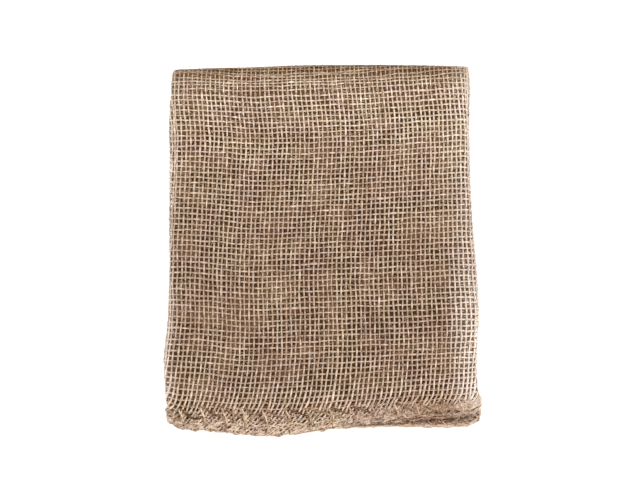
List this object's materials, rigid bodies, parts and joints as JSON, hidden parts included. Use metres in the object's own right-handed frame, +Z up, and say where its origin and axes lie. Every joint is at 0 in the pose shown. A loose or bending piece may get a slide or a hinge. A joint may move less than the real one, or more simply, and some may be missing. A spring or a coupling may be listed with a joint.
{
  "type": "folded jute sack",
  "caption": "Open-weave jute sack with overcast side seams, folded flat into a small rectangular pack.",
  "frame": {"origin": "centre of the box round the folded pack, on the plane it lies on", "axes": "+Z up through the layers, +Y towards the crease made last, X along that crease; the side seams' edges are at -Y"},
  "size_m": [0.206, 0.2504, 0.0258],
  "materials": {
    "jute": "open plain weave of undyed jute yarn, matte and slightly hairy"
  },
  "bodies": {
    "root": {"sack_cloth": "jute"}
  },
  "joints": []
}
